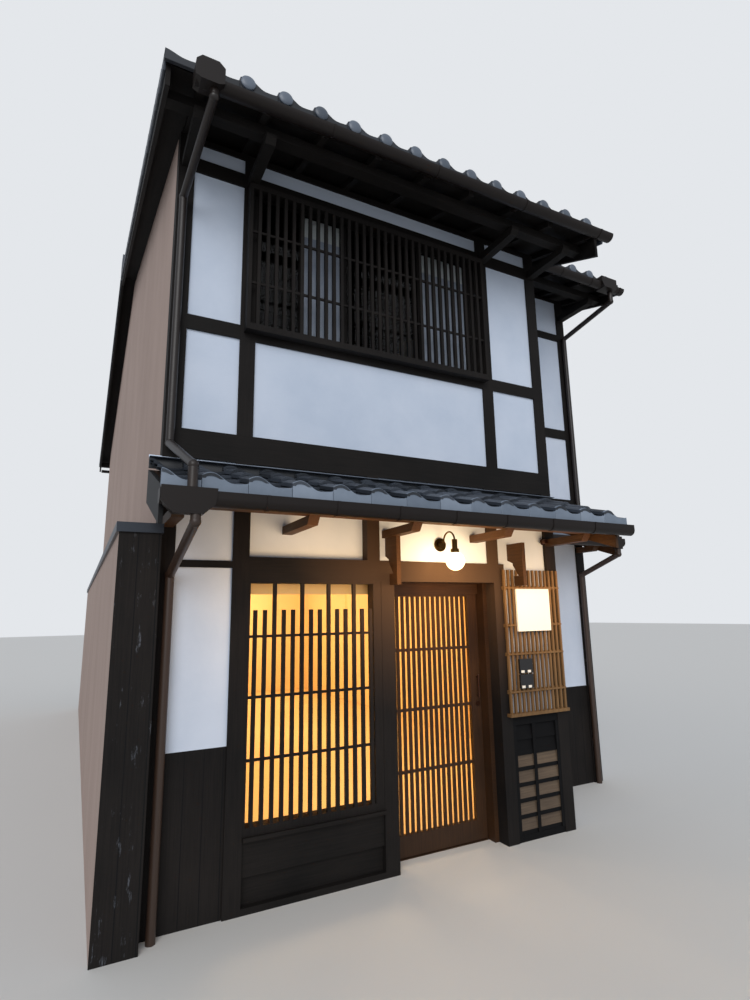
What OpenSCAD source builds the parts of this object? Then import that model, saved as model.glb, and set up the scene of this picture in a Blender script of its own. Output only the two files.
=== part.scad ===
// Machiya townhouse: a narrow two-storey timber-framed shop house with white
// plaster panels, a lattice window and sliding lattice door under a tiled pent
// roof, a stuccoed side wall and a gabled roof of dark wave tiles whose ridge
// runs along the street. The front steps back at its right end.
// Millimetres, +Z up, X along the street front, Y into the house. The origin is
// on the ground, under the ridge, in the middle of the house's width.

/* [House] */
// Width of the whole house, outside to outside
house_w = 4780; // [4700:10:4860]
// Width of the forward part of the front
front_w = 3470; // [3440:10:3500]
// How far the right end of the front is set back
step_back = 860; // [820:10:900]
// Depth from the front to the back
depth = 9700; // [9500:10:9900]
// Section of posts, and thickness of the outer walls
post = 115; // [110:1:120]
// Depth of the plaster below the face of the timber
reveal = 16; // [10:1:22]

/* [Heights] */
// Bottom of the girth beam between the storeys
girth_z = 2887; // [2880:1:2895]
// Height of the girth beam
girth_h = 205; // [195:1:210]
// Bottom of the middle rail of the upper storey
rail_z = 3836; // [3800:1:3840]
// Height of the middle rail
rail_h = 110; // [90:1:112]
// Bottom of the window head beam of the upper storey
head_z = 5121; // [5116:1:5126]
// Height of the window head beam
head_h = 116; // [90:1:120]
// Bottom of the lintel of the lower storey
lintel_z = 2065; // [2062:1:2070]
// Height of that lintel
lintel_h = 160; // [120:1:165]
// Top of the dark boards at the foot of the plaster
dado_z = 999; // [900:1:1100]

/* [Main roof] */
// Height of the crests of the tiles, carried up to the ridge line
ridge_z = 7062; // [7050:1:7075]
// Rise of the roof for each unit of run
pitch = 0.305; // [0.304:0.001:0.306]
// Overhang of the roof boards in front of the walls
eave = 650; // [645:1:655]
// Overhang past the left wall
verge_l = 200; // [195:1:205]
// Overhang past the right wall of the forward part
verge_step = 290; // [285:1:295]
// Overhang past the right wall
verge_r = 260; // [255:1:265]

/* [Pent roof] */
// Height of the crests of the pent roof's tiles against the wall
pent_z = 2860; // [2858:1:2864]
// Rise of the pent roof for each unit of run
pent_pitch = 0.342; // [0.34:0.001:0.344]
// Overhang of its boards in front of the wall
pent_eave = 700; // [695:1:705]
// Overhang of its boards in front of the set-back wall
wing_eave = 500; // [480:5:520]

/* [Tiles] */
// Width that one tile covers
tile_w = 264; // [262:0.5:266]
// Height of the wave from the pan to the crest
tile_wave = 58; // [50:1:60]
// Diameter of the round ends of the eave tiles
disc_d = 100; // [90:1:102]

/* [Door] */
// Width of the sliding leaf
door_w = 960; // [950:1:962]
// Thickness of the leaf
door_t = 36; // [30:1:36]

/* [Hidden] */
$fn = 32;

// Left faces of the four posts of the forward part, and of the post by the door
post_x = [0, 495, 2740, front_w - post];
door_post_x = 1640;
// Left and right faces of the two struts that stand on the lintel
strut_x = [[1525, 1633], [2685, 2800]];
wing_y = step_back;
wing_post_x = house_w - post;
ridge_y = depth / 2;
rear_y = depth - post;
floor_z = girth_z + girth_h;
lintel_top = lintel_z + lintel_h;
// Posts of the right wall, along Y, and of the back wall, along X
side_post_y = [wing_y, 3100, 5200, 7300, rear_y];
back_post_x = [0, 1400, 3000, wing_post_x];

// Thickness of the roof's layers, measured upright from the crests down
tile_h = 84;
board_h = 24;
rafter_h = 60;
pent_rafter_h = 45;
under_tiles = tile_h;
under_boards = under_tiles + board_h;
under_rafters = under_boards + rafter_h;
pent_under_rafters = under_boards + pent_rafter_h;
rafter_w = 50;
rafter_pitch = 440;

// Edges of the main roof, and the verge tile's thin upright side
roof_x1 = -verge_l;
roof_step_x = front_w + verge_step;
roof_x2 = house_w + verge_r;
verge_t = 15;
// How far the tiles reach past the boards, and how thick their front plate is
tile_lip = 20;
// Half the width of the ridge tiles' bed
ridge_w = 110;
// Lowest corner of the wall plates, and of the plate of the set-back wall
plate_z = 5366;
wing_plate_z = 5640;
wing_head_z = 5115;
wing_head_h = 85;

// Ends of the pent roof and of the short one on the set-back wall
pent_x1 = -80;
pent_tiles_n = 14;
tile_side = 50;
pent_x2 = pent_x1 + pent_tiles_n * tile_w - tile_side;
wing_pent_x1 = front_w - reveal + 1;
wing_tiles_n = 5;
wing_pent_x2 = wing_pent_x1 + wing_tiles_n * tile_w;

// Timber and finish colours
dark_timber = [0.13, 0.10, 0.08];
warm_timber = [0.45, 0.30, 0.16];
plaster_white = [0.85, 0.87, 0.90];
stucco = [0.62, 0.48, 0.42];
tile_grey = [0.22, 0.23, 0.25];
gutter_brown = [0.16, 0.11, 0.08];
pane = [0.8, 0.85, 0.9, 0.3];

// Height of a layer of the main roof at y, drop below the crests
function roof_z(y, drop) = ridge_z - pitch * abs(y - ridge_y) - drop;
// Height of a layer of a pent roof at a distance in front of its wall
function pent_roof_z(out, drop) = pent_z - pent_pitch * out - drop;
// Height of a wave tile above its pan at a part u of its width: the roll falls
// to a wide pan, and there the raised edge of the next tile laps over it
function wave(u) = tile_wave * (
    u < 0.5 ? pow(cos(90 * min(1, u / 0.48)), 2)
    : u < 0.8 ? 1.6 * pow(u - 0.5, 2)
    : 0.67 + 0.33 * sin(90 * (u - 0.8) / 0.2));
wave_u = [0, 0.08, 0.16, 0.24, 0.32, 0.4, 0.5, 0.79, 0.82, 0.91];
// Outline of n tiles side by side from x, from a flat bed at low up to the
// waves. The first roll may be lower, and the last tile ends in its pan
function tile_outline(x, n, low, pan, k, first = 1) = concat(
    [[x, low]],
    [for (i = [0 : n - 1]) for (u = wave_u) if (i < n - 1 || u < 0.8)
        [x + (i + u) * tile_w, pan + k * wave(u) * (i == 0 && u < 0.8 ? first : 1)]],
    [[x + n * tile_w, pan + k * wave(0.79)], [x + n * tile_w, low]]);

// The whole house is drawn from its front left corner and moved to the origin
module place() translate([-house_w / 2, -ridge_y, 0]) children();
// A box from its lowest to its highest corner
module block(a, b) translate(a) cube(b - a);
// A profile in Y and Z, carried along X
module along_x(x, len) translate([x, 0, 0]) rotate([90, 0, 90]) linear_extrude(len) children();
// A profile in X and Z, carried along Y
module along_y(y, len) translate([0, y + len, 0]) rotate([90, 0, 0]) linear_extrude(len) children();
// The same thing on the back half of the house, mirrored or turned round
module mirrored_back() translate([0, 2 * ridge_y, 0]) mirror([0, 1, 0]) children();
module turned_back() translate([roof_x1 + roof_x2, 2 * ridge_y, 0]) rotate([0, 0, 180]) children();
// A stretch of one layer of the main roof, all in front of the ridge
module roof_strip(x1, x2, y1, y2, top, bottom) along_x(x1, x2 - x1) polygon([
    [y1, roof_z(y1, bottom)], [y2, roof_z(y2, bottom)], [y2, roof_z(y2, top)], [y1, roof_z(y1, top)]]);
// A stretch of one layer of a pent roof whose wall is at y
module pent_strip(x1, x2, y, out1, out2, top, bottom) along_x(x1, x2 - x1) polygon([
    [y - out1, pent_roof_z(out1, bottom)], [y - out2, pent_roof_z(out2, bottom)],
    [y - out2, pent_roof_z(out2, top)], [y - out1, pent_roof_z(out1, top)]]);
// A wall panel or beam whose top is cut to the slope of the rafters
module gable_panel(x1, x2, y1, y2, z) along_x(x1, x2 - x1) polygon(
    y1 < ridge_y && y2 > ridge_y
    ? [[y1, z], [y2, z], [y2, roof_z(y2, under_rafters)], [ridge_y, roof_z(ridge_y, under_rafters)],
       [y1, roof_z(y1, under_rafters)]]
    : [[y1, z], [y2, z], [y2, roof_z(y2, under_rafters)], [y1, roof_z(y1, under_rafters)]]);

module ground_slab() color([0.45, 0.43, 0.40]) place() {
    block([post, 260, 0], [front_w - post, wing_y + post, 60]);
    block([post, wing_y + post, 0], [wing_post_x, rear_y, 60]);
}

floor_t = 30;
module upper_floor() color(warm_timber) place() {
    block([post, post, floor_z - floor_t], [front_w - post, wing_y + post, floor_z]);
    block([post, wing_y + post, floor_z - floor_t], [wing_post_x, rear_y, floor_z]);
}

module floor_joists() color(warm_timber) place()
    for (y = [1400 : 900 : rear_y - 500])
        block([post, y, floor_z - floor_t - 180], [wing_post_x, y + 105, floor_z - floor_t]);

// Corner posts run the full storey, the two beside the door stop at the lintel
module lower_posts() color(dark_timber) place() {
    for (x = [post_x[0], post_x[1], post_x[3]]) block([x, 0, 0], [x + post, post, girth_z]);
    block([door_post_x, 0, 0], [door_post_x + post, post, lintel_z]);
    block([post_x[2], 0, 0], [post_x[2] + post, post, lintel_top]);
    for (s = strut_x) block([s[0], 0, lintel_top], [s[1], post, girth_z]);
    for (x = [front_w - post, wing_post_x]) block([x, wing_y, 0], [x + post, wing_y + post, girth_z]);
    for (i = [1 : 4]) block([wing_post_x, side_post_y[i], 0], [house_w, side_post_y[i] + post, girth_z]);
    for (i = [1, 2]) block([back_post_x[i], rear_y, 0], [back_post_x[i] + post, depth, girth_z]);
}

module upper_posts() color(dark_timber) place() {
    for (x = post_x) block([x, 0, floor_z], [x + post, post, plate_z]);
    for (x = [front_w - post, wing_post_x]) block([x, wing_y, floor_z], [x + post, wing_y + post, wing_plate_z]);
    for (i = [1 : 4]) gable_panel(wing_post_x, house_w, side_post_y[i], side_post_y[i] + post, floor_z);
    for (i = [1, 2]) block([back_post_x[i], rear_y, floor_z], [back_post_x[i] + post, depth, plate_z]);
}

module front_girth() color(dark_timber) place() block([0, 0, girth_z], [front_w, post, floor_z]);

module side_girths() color(dark_timber) place() {
    block([front_w - post, post, girth_z], [front_w, wing_y, floor_z]);
    block([wing_post_x, wing_y + post, girth_z], [house_w, depth, floor_z]);
}

module cross_girths() color(dark_timber) place() {
    block([front_w - post, wing_y, girth_z], [house_w, wing_y + post, floor_z]);
    block([post, rear_y, girth_z], [wing_post_x, depth, floor_z]);
}

// The rails between the posts, and the lintel with the two grooves of an old
// track cut in its underside over the doorway
left_rail = [2144, 2192];
module front_rails() color(dark_timber) place() {
    for (i = [0 : 2]) for (r = [[rail_z, rail_h], [head_z, head_h]])
        block([post_x[i] + post, 0, r[0]], [post_x[i + 1], post, r[0] + r[1]]);
    block([post, 0, left_rail[0]], [post_x[1], post, left_rail[1]]);
    difference() {
        block([post_x[1] + post, 0, lintel_z], [post_x[2], post, lintel_top]);
        for (y = [28, 66]) block([door_post_x + post, y, lintel_z - 1], [post_x[2] + 1, y + 21, lintel_z + 12]);
    }
    for (r = [[rail_z, rail_h], [wing_head_z, wing_head_h]])
        block([front_w, wing_y, r[0]], [wing_post_x, wing_y + post, r[0] + r[1]]);
}

// Plates on the walls, the ridge beam, and the purlins that carry the eaves on
// arms from the posts
purlin_out = [385, 475];
purlin_z = 5198;
arm_w = 75;
arm_h = 70;
// Sloping seats are kept this far apart
seat_gap = 0.5;
module eave_purlin(x1, x2, wall_y, arms, wall_z) {
    y1 = wall_y - purlin_out[1];
    y2 = wall_y - purlin_out[0];
    translate([0, 0, -seat_gap]) gable_panel(x1, x2, y1, y2, wall_z + seat_gap);
    for (x = arms) along_x(x, arm_w) polygon([[wall_y, wall_z - arm_h], [wall_y, wall_z], [y1 - 30, wall_z],
        [y1 - 30, wall_z - 30], [y1, wall_z - arm_h]]);
}
module wall_plates() color(dark_timber) place() {
    gable_panel(0, front_w, 0, post, plate_z);
    gable_panel(front_w - post, house_w, wing_y, wing_y + post, wing_plate_z);
    gable_panel(post, wing_post_x, rear_y, depth, plate_z);
    gable_panel(post, wing_post_x + reveal, ridge_y - 60, ridge_y + 60, roof_z(ridge_y, under_rafters) - 200);
    eave_purlin(roof_x1 + verge_t + board_t, step_board_x, 0, [20, 515, 2760, 3375], purlin_z);
    eave_purlin(front_w - reveal, wing_board_x, wing_y, [wing_post_x + 20],
        purlin_z + pitch * step_back);
    mirrored_back() eave_purlin(roof_x1 + verge_t + board_t, wing_board_x, 0, [1420, 3020], purlin_z);
}

module front_plaster_upper() color(plaster_white) place() {
    for (i = [0 : 2]) {
        block([post_x[i] + post, reveal, floor_z], [post_x[i + 1], post - reveal, rail_z]);
        block([post_x[i] + post, reveal, head_z + head_h], [post_x[i + 1], post - reveal, plate_z]);
    }
    for (i = [0, 2]) block([post_x[i] + post, reveal, rail_z + rail_h], [post_x[i + 1], post - reveal, head_z]);
    for (z = [[floor_z, rail_z], [rail_z + rail_h, wing_head_z], [wing_head_z + wing_head_h, wing_plate_z]])
        block([front_w, wing_y + reveal, z[0]], [wing_post_x, wing_y + post - reveal, z[1]]);
}

// The panel over the shop window lies deep, the others near the timber's face
right_bay_y = 30;
module front_plaster_lower() color(plaster_white) place() {
    block([post, reveal, dado_z], [post_x[1], post - reveal, left_rail[0]]);
    block([post, reveal, left_rail[1]], [post_x[1], post - reveal, girth_z]);
    block([post_x[1] + post, 85, lintel_top], [strut_x[0][0], post, girth_z]);
    block([strut_x[0][1], reveal, lintel_top], [strut_x[1][0], post - reveal, girth_z]);
    along_y(right_bay_y, post - reveal - right_bay_y) polygon([
        [post_x[2] + post, siding_top + 10], [post_x[3], siding_top + 10], [post_x[3], girth_z],
        [strut_x[1][1], girth_z], [strut_x[1][1], lintel_top], [post_x[2] + post, lintel_top]]);
    block([front_w, wing_y + reveal, dado_z], [wing_post_x, wing_y + post - reveal, girth_z]);
}

module front_dado() color(dark_timber) place() {
    block([post, reveal, 0], [post_x[1], post - reveal, dado_z]);
    block([front_w, wing_y + reveal, 0], [wing_post_x, wing_y + post - reveal, dado_z]);
}

module left_wall() color(stucco) place() gable_panel(0, post, post, depth, 0);

// The low garden wall along the side, boarded at its street end, with a
// folded metal coping that laps over the boards
low_wall_w = 235;
low_wall_z = 2340;
low_wall_y = -120;
low_board_t = 20;
module low_side_wall() color(stucco) place() block([-low_wall_w, low_wall_y, 0], [0, depth, low_wall_z]);
module low_wall_boards() color(dark_timber) place()
    block([-low_wall_w, low_wall_y - low_board_t, 0], [12, low_wall_y, low_wall_z]);
module low_wall_coping() color([0.20, 0.21, 0.24]) place() {
    block([-low_wall_w - 17, low_wall_y - 35, low_wall_z], [0, depth, low_wall_z + 60]);
    block([0, low_wall_y - 35, low_wall_z], [20, -5, low_wall_z + 60]);
}

module right_plaster() color(plaster_white) place() {
    block([front_w - post + reveal, post, 0], [front_w - reveal, wing_y, girth_z]);
    gable_panel(front_w - post + reveal, front_w - reveal, post, wing_y, floor_z);
    for (i = [0 : 3]) {
        y1 = side_post_y[i] + post;
        y2 = side_post_y[i + 1];
        block([wing_post_x + reveal, y1, 0], [house_w - reveal, y2, girth_z]);
        block([wing_post_x + reveal, y1, floor_z], [house_w - reveal, y2, rail_z]);
        gable_panel(wing_post_x + reveal, house_w - reveal, y1, y2, rail_z + rail_h);
    }
}

module right_rails() color(dark_timber) place()
    for (i = [0 : 3])
        block([wing_post_x, side_post_y[i] + post, rail_z], [house_w, side_post_y[i + 1], rail_z + rail_h]);

module rear_plaster() color(plaster_white) place()
    for (i = [0 : 2]) for (z = [[dado_z, girth_z], [floor_z, rail_z], [rail_z + rail_h, plate_z]])
        block([back_post_x[i] + post, rear_y + reveal, z[0]], [back_post_x[i + 1], depth - reveal, z[1]]);

module rear_dado() color(dark_timber) place()
    for (i = [0 : 2])
        block([back_post_x[i] + post, rear_y + reveal, 0], [back_post_x[i + 1], depth - reveal, dado_z]);

module rear_rails() color(dark_timber) place()
    for (i = [0 : 2])
        block([back_post_x[i] + post, rear_y, rail_z], [back_post_x[i + 1], depth, rail_z + rail_h]);

// The shop window: a thin frame between the posts, its lattice in the front of
// the frame, one sheet of glass, and a panelled apron with a sill
win_x1 = post_x[1] + post;
win_x2 = door_post_x;
stile_x = [win_x1 + 15, win_x2 - 68];
sill_z = 445;
light_z = [sill_z + 50, lintel_z - 20];
module shop_window_frame() color(dark_timber) place() difference() {
    block([win_x1, 3, sill_z], [win_x2, 100, lintel_z]);
    block([stile_x[0], 2, light_z[0]], [stile_x[1], 101, light_z[1]]);
}

bar_w = 25;
module shop_window_lattice() color(dark_timber) place() {
    for (i = [1 : 14]) block([584 + 68 * i, 4, light_z[0]], [584 + 68 * i + bar_w, 29, i % 3 == 0 ? light_z[1] : 1860]);
    for (z = [885, 1278, 1674]) block([stile_x[0], 10, z], [stile_x[1], 24, z + 18]);
}

module shop_window_glass() color(pane) place()
    block([stile_x[0], 75, light_z[0]], [stile_x[1], 81, light_z[1]]);

module shop_window_apron() color(dark_timber) place() along_x(win_x1, win_x2 - win_x1) polygon([
    [post, 0], [0, 0], [0, 40], [50, 40], [50, 205], [20, 205], [20, sill_z - 25], [-25, sill_z - 25],
    [-25, sill_z], [post, sill_z]]);

// The upper window: a lattice box standing out from the wall over the rails,
// and behind it four sliding sashes in the opening between the posts
box_x = [520, 2755];
box_z = [3890, 5116];
box_y = -80;
module upper_window_lattice() color(dark_timber) place() {
    difference() {
        block([box_x[0], box_y, box_z[0]], [box_x[1], 0, box_z[1]]);
        block([box_x[0] + 28, box_y - 1, box_z[0] + 50], [box_x[1] - 28, 1, box_z[1] - 45]);
    }
    for (i = [1 : 31]) {
        x = box_x[0] + 14 + i * (box_x[1] - box_x[0] - 28) / 32;
        block([x - bar_w / 2, box_y + 2, box_z[0] + 50], [x + bar_w / 2, box_y + 30, box_z[1] - 45]);
    }
    for (z = [4270, 4700]) block([box_x[0] + 28, box_y + 12, z], [box_x[1] - 28, box_y + 26, z + 18]);
}

up_x = [post_x[1] + post, post_x[2]];
up_z = [rail_z + rail_h, head_z];
sash_x = [[650, 965], [1006, 1334], [1385, 2085], [2136, 2641]];
module upper_window_sashes() color(dark_timber) place() difference() {
    block([up_x[0], 40, up_z[0]], [up_x[1], 72, up_z[1]]);
    for (s = sash_x) block([s[0], 39, up_z[0] + 45], [s[1], 73, up_z[1] - 45]);
}

module upper_window_glass() color(pane) place()
    for (s = sash_x) block([s[0], 52, up_z[0] + 45], [s[1], 58, up_z[1] - 45]);

// The sliding leaf hangs in the recess behind the window and slides to the left
door_x1 = 1735;
door_x2 = door_x1 + door_w;
door_y = 205;
door_z = [12, 1990];
leaf_x = [door_x1 + 60, door_x2 - 101];
leaf_z = [163, 1954];
module door_leaf() color(warm_timber) place() difference() {
    block([door_x1, door_y, door_z[0]], [door_x2, door_y + door_t, door_z[1]]);
    block([leaf_x[0], door_y - 1, leaf_z[0]], [leaf_x[1], door_y + door_t + 1, leaf_z[1]]);
}

slat_w = 24;
slats_n = 15;
module door_slats() color(warm_timber) place() {
    slat_pitch = (leaf_x[1] - leaf_x[0]) / (slats_n + 1);
    for (i = [1 : slats_n]) {
        x = leaf_x[0] + slat_pitch * i - slat_w / 2;
        block([x, door_y + 2, leaf_z[0]], [x + slat_w, door_y + 20, leaf_z[1]]);
    }
    for (z = [595, 1052, 1515]) block([leaf_x[0], door_y + 4, z], [leaf_x[1], door_y + 24, z + 22]);
}

module door_glass() color(pane) place()
    block([leaf_x[0], door_y + 26, leaf_z[0]], [leaf_x[1], door_y + 31, leaf_z[1]]);

// A bar handle on two feet, and the round plate of the lock under it
pull_x = 2658;
pull_z = [1110, 1296];
module door_pull() color([0.1, 0.1, 0.1]) place() {
    translate([pull_x, door_y - 28, pull_z[0]]) cylinder(d = 16, h = pull_z[1] - pull_z[0]);
    for (z = [pull_z[0] + 18, pull_z[1] - 18]) translate([pull_x, door_y, z]) rotate([90, 0, 0]) cylinder(d = 10, h = 28);
    translate([pull_x, door_y, 1061]) rotate([90, 0, 0]) cylinder(d = 40, h = 8);
}

// Threshold, head track with a lip on each side of the leaf, jambs, and the
// boards that close the recess between the posts and the leaf
jamb_x = 2700;
recess_y = 256;
module door_frame() color(warm_timber) place() {
    block([win_x1, 195, 0], [jamb_x, 251, 7]);
    along_x(win_x1, post_x[2] - win_x1) polygon([
        [188, 1975], [200, 1975], [200, 2001], [246, 2001], [246, 1975], [recess_y, 1975],
        [recess_y, lintel_z + 30], [post, lintel_z + 30], [post, lintel_z], [188, lintel_z]]);
    block([jamb_x, post, 0], [post_x[2], recess_y - 1, lintel_z]);
    block([door_post_x + post - 40, post, 0], [door_post_x + post, 188, lintel_z]);
}

// The slatted screen before the right bay, with its battens, ties and ledge
screen_x = [2815, 3441];
screen_z = [990, 2175];
module slat_screen() color(warm_timber) place() {
    slat_pitch = (screen_x[1] - screen_x[0] - 20) / 13;
    for (i = [0 : 13]) {
        x = screen_x[0] + slat_pitch * i;
        block([x, -36, screen_z[0]], [x + 20, -18, screen_z[1]]);
    }
    for (z = [1153, 1458, 1696, 2013]) {
        block([screen_x[0], -42, z], [screen_x[1], -36, z + 14]);
        block([screen_x[0], -18, z - 8], [screen_x[1], 0, z + 22]);
    }
    block([screen_x[0] - 15, -50, screen_z[0] - 25], [screen_x[1] + 14, 0, screen_z[0]]);
}

// Lapped boards under the screen, each with a proud lower edge, between battens
siding_top = 890;
lap = 120;
module lap_siding() color([0.2, 0.2, 0.2]) place() {
    x1 = post_x[2] + post;
    x2 = post_x[3];
    along_x(x1, x2 - x1) polygon(concat([[60, 0], [8, 0], [8, 50]],
        [for (z = [50 : lap : siding_top - lap]) for (p = [[12, z], [28, z + lap]]) p],
        [[5, siding_top], [5, screen_z[0] - 25], [right_bay_y, screen_z[0] - 25], [right_bay_y, siding_top], [60, siding_top]]));
    for (x = [x1, x1 + 205, x2 - 32]) block([x, 2, 50], [x + 32, 40, siding_top]);
}

module notice_board() color([0.9, 0.9, 0.88]) place() block([2927, -60, 1652], [3298, -42, 2010]);
module sign_plate() color([0.15, 0.15, 0.15]) place()
    for (z = [[1187, 1297], [1310, 1424]]) block([2920, -56, z[0]], [3060, -36, z[1]]);

// A gooseneck lamp on the plaster over the door, with a round opal globe
lamp_x = 2205;
lamp_z = 2386;
neck_r = 76;
neck_y = -120;
globe_z = 2220;
globe_top = globe_z + 66;
module wall_lamp() color([0.35, 0.25, 0.12]) place() {
    translate([lamp_x, reveal, lamp_z - 16]) rotate([90, 0, 0]) cylinder(d = 110, h = 12);
    translate([lamp_x, reveal - 12, lamp_z - 16]) rotate([90, 0, 0]) cylinder(d = 60, h = 16);
    translate([lamp_x, reveal - 8, lamp_z]) rotate([90, 0, 0]) cylinder(d = 14, h = reveal - 8 - neck_y - neck_r + 2);
    translate([lamp_x, neck_y + neck_r, lamp_z]) sphere(d = 20);
    translate([lamp_x, neck_y, lamp_z]) rotate([90, 0, -90]) rotate_extrude(angle = 180) translate([neck_r, 0]) circle(d = 14);
    translate([lamp_x, neck_y - neck_r, globe_top + 30]) cylinder(d = 44, h = lamp_z - globe_top - 24);
    translate([lamp_x, neck_y - neck_r, globe_top]) cylinder(d = 68, h = 30);
}
module lamp_globe() color([1, 0.95, 0.8]) place() translate([lamp_x, neck_y - neck_r, globe_z]) difference() {
    sphere(d = 150);
    translate([-40, -40, globe_top - globe_z]) cube([80, 80, 20]);
}

// Boards of a pent roof on small rafters, with a deep board on each open end
end_board = [25, 305];
end_board_in = 98;
module pent_boards(x1, x2, y, out, ends) {
    pent_strip(x1, x2, y, 0, out, under_tiles, under_boards);
    for (x = [x1 + 120 : rafter_pitch : x2 - 60])
        pent_strip(x, x + pent_rafter_h, y, 0, out - 20, under_boards, pent_under_rafters);
    for (x = ends) pent_strip(x, x + end_board[0], y, 0, out - 10, under_boards, end_board[1]);
}
module pent_deck() color(warm_timber) place() {
    pent_boards(pent_x1, pent_x2, 0, pent_eave, [pent_x1, pent_x2 - end_board_in]);
    pent_boards(wing_pent_x1, wing_pent_x2 + 20, wing_y, wing_eave, [wing_pent_x2 - 5]);
}

// Wave tiles laid from the wall down to the eave. The last row has straight
// front plates, which stand proud of the tiles and reach behind their ends
pent_a = atan(pent_pitch);
plate_drop = 150;
plate_t = 20;
plate_in = 8;
plate_rise = 6;
module pent_field(x1, x2, n, y, out) {
    k = cos(pent_a);
    front = out + tile_lip;
    len = (front - plate_in) / k;
    translate([0, y, pent_roof_z(0, tile_h - seat_gap)]) rotate([pent_a, 0, 0]) along_y(-len, len - tile_h * sin(pent_a))
        intersection() {
            polygon(tile_outline(x1, n, 0, (tile_h - tile_wave) * k, k));
            translate([x1, -10]) square([x2 - x1, 200]);
        }
    along_y(y - front - plate_t, plate_t + 10) intersection() {
        polygon(tile_outline(x1, n, pent_roof_z(front, plate_drop), pent_roof_z(front, tile_wave) + plate_rise, 1));
        translate([x1, pent_roof_z(front, 200)]) square([x2 - x1, 400]);
    }
}
module pent_tiles() color(tile_grey) place() {
    pent_field(pent_x1, pent_x2, pent_tiles_n, 0, pent_eave);
    pent_field(wing_pent_x1, wing_pent_x2, wing_tiles_n, wing_y, wing_eave);
}

// What carries the pent roof: arms out of the posts, the purlin on them, and
// two hooked boards that hang before the wall on either side of the door
pent_purlin_in = 245;
pent_purlin_w = 90;
pent_purlin_low = 90;
pent_arm_h = 60;
module pent_arm(x, y1, y, out, z) along_x(x, arm_w) polygon([
    [y1, z - pent_arm_h], [y1, z], [y - out - 20, z], [y - out + 25, z - pent_arm_h]]);
module pent_purlin(x1, x2, y, out, z) along_x(x1, x2 - x1) polygon([
    [y - out - pent_purlin_w / 2, z], [y - out + pent_purlin_w / 2, z],
    [y - out + pent_purlin_w / 2, pent_roof_z(out - pent_purlin_w / 2, pent_under_rafters)],
    [y - out - pent_purlin_w / 2, pent_roof_z(out + pent_purlin_w / 2, pent_under_rafters)]]);
module hung_board(x, wall, top) along_x(x, 35) polygon([
    [-165, 2035], [-45, 2035], [-45, 2120], [-105, 2120], [-38, 2215], [-38, 2232], [wall, 2260], [wall, top], [-165, top]]);
module pent_brackets() color(warm_timber) place() {
    out = pent_eave - pent_purlin_in;
    z = pent_roof_z(out, pent_under_rafters) - pent_purlin_low;
    pent_purlin(pent_x1 + end_board[0], pent_x2 - end_board_in, 0, out, z);
    for (a = [[20, 0], [870, 85], [1663, reveal], [2513, reveal], [3355, 0]]) pent_arm(a[0], a[1], 0, out, z);
    hung_board(1690, reveal, z - pent_arm_h);
    hung_board(2925, right_bay_y, z - pent_arm_h);
    wing_out = wing_eave - pent_purlin_in;
    wing_z = pent_roof_z(wing_out, pent_under_rafters) - pent_purlin_low;
    pent_purlin(wing_pent_x1, wing_pent_x2 - 5, wing_y, wing_out, wing_z);
    pent_arm(wing_post_x + 10, wing_y, wing_y, wing_out, wing_z);
}

// Roof boards with the rafters under them: the front slope steps back with the
// wall, the back slope runs straight across
module slope_boards(x1, x2, y, first, last) {
    roof_strip(x1, x2, y - eave, ridge_y, under_tiles, under_boards);
    for (x = [first : rafter_pitch : last])
        roof_strip(x, x + rafter_w, y - eave + 50, ridge_y, under_boards, under_rafters);
}
rafter_x = [for (i = [0 : 11]) 20 + i * rafter_pitch];
module roof_deck() color(dark_timber) place() {
    slope_boards(roof_x1 + verge_t, roof_step_x - verge_t, 0, rafter_x[0], rafter_x[8]);
    slope_boards(roof_step_x - verge_t, roof_x2 - verge_t, wing_y, rafter_x[9], rafter_x[11]);
    mirrored_back() slope_boards(roof_x1 + verge_t, roof_x2 - verge_t, 0, rafter_x[0], rafter_x[11]);
}

// The wave tiles of one stretch of slope: n waves from x, cut off at x1 and x2,
// from the eave to the ridge bed, with the front plate and the round ends
roof_a = atan(pitch);
disc_drop = 48;
first_roll = 0.45;
module roof_field(x, n, x1, x2, y, discs, first) {
    k = cos(roof_a);
    y1 = y - eave - tile_lip;
    y2 = y1 + plate_in;
    len = (ridge_y - ridge_w - y2) / k - seat_gap;
    translate([0, y2, roof_z(y2, tile_h - seat_gap)]) rotate([roof_a, 0, 0]) along_y(0, len) intersection() {
        polygon(tile_outline(x, n, 0, (tile_h - tile_wave) * k, k, first));
        translate([x1, -10]) square([x2 - x1, 200]);
    }
    along_y(y1 - plate_t, plate_t + 10) intersection() {
        polygon(tile_outline(x, n, roof_z(y1, under_boards), roof_z(y1, tile_wave) + plate_rise, 1, first));
        translate([x1, roof_z(y1, 200)]) square([x2 - x1, 400]);
    }
    for (i = discs) translate([x + i * tile_w, y1, roof_z(y1, disc_drop)]) rotate([90, 0, 0]) cylinder(d = disc_d, h = 32);
}
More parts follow.
